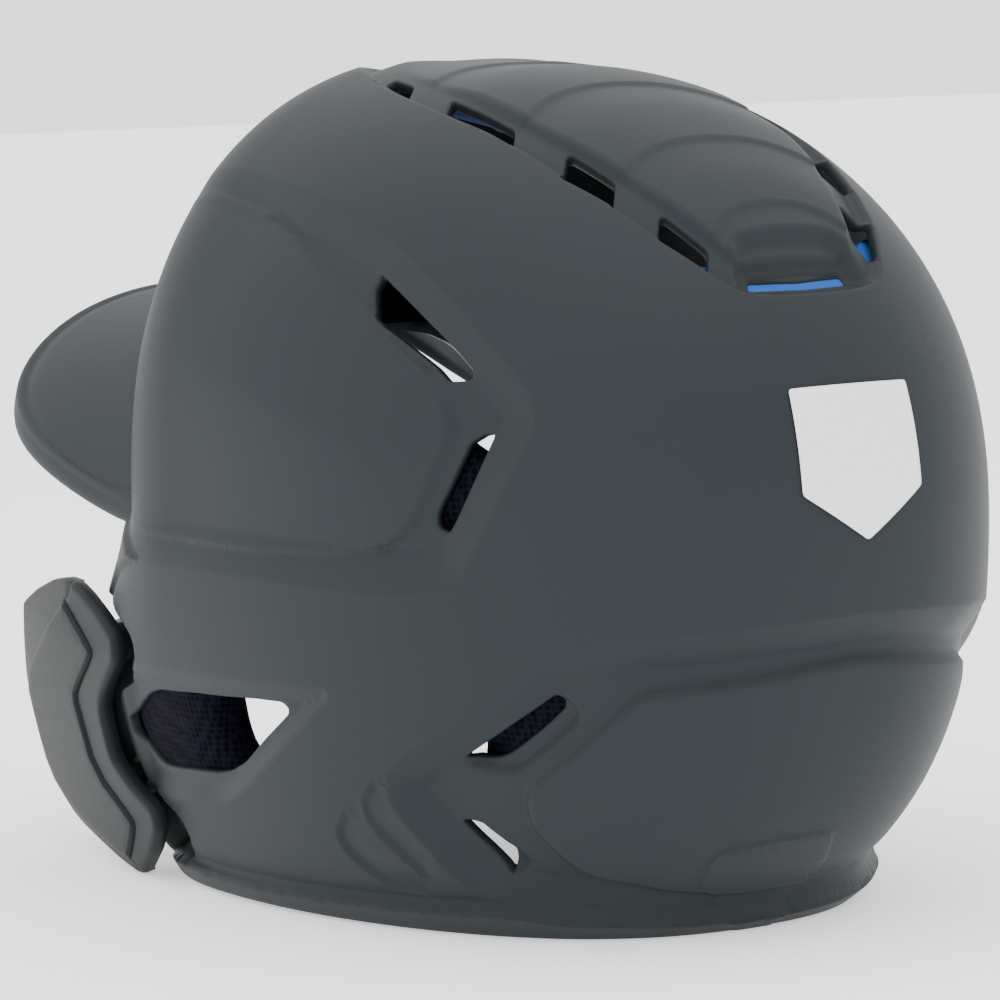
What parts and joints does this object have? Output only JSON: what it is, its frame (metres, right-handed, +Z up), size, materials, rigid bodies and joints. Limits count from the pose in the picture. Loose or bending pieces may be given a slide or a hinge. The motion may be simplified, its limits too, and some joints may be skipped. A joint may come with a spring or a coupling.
{
  "type": "batting helmet",
  "caption": "Hard-shell batting helmet with visor, two ear flaps, vents, foam lining and a jaw guard on the wearer's left side.",
  "frame": {"origin": "on the plane that the rim stands on, under the middle of the overall length", "axes": "+Z up, -Y towards the visor (front), +X towards the wearer's left, where the jaw guard is"},
  "size_m": [0.2, 0.3259, 0.2286],
  "materials": {
    "shell_abs": "fine matte charcoal moulding",
    "guard_abs": "fine matte charcoal moulding",
    "emblem_vinyl": "smooth glossy white film",
    "pad_mesh": "knitted black mesh over foam",
    "blue_foam": "closed cell foam",
    "black_foam": "closed cell foam",
    "hook_patch": "hook tape",
    "steel": "zinc plated",
    "brass": "turned",
    "rubber": "moulded"
  },
  "bodies": {
    "helmet": {"shell": "shell_abs", "crown_pad": "blue_foam", "crown_strip_left": "black_foam", "crown_strip_right": "black_foam", "brow_pad": "black_foam", "brow_pad_cover": "pad_mesh", "rear_pad": "black_foam", "rear_gel_pad": "blue_foam", "temple_pad_left": "black_foam", "temple_pad_right": "black_foam", "side_pad_left": "black_foam", "side_pad_right": "black_foam", "ear_pad_left": "pad_mesh", "ear_pad_right": "pad_mesh", "hook_patch_left": "hook_patch", "hook_patch_right": "hook_patch", "rear_emblem": "emblem_vinyl"},
    "guard": {"jaw_guard": "guard_abs", "guard_pad": "blue_foam", "guard_screw_upper": "steel", "guard_screw_lower": "steel", "guard_washer_upper": "steel", "guard_washer_lower": "steel", "guard_insert_upper": "brass", "guard_insert_lower": "brass", "guard_spacer_upper": "rubber", "guard_spacer_lower": "rubber"}
  },
  "joints": [
    {"name": "guard_slide", "type": "slide", "parent": "helmet", "child": "guard", "axis": [0, -0.9976, 0.0698], "range_m": [-0.002, 0.002]}
  ]
}
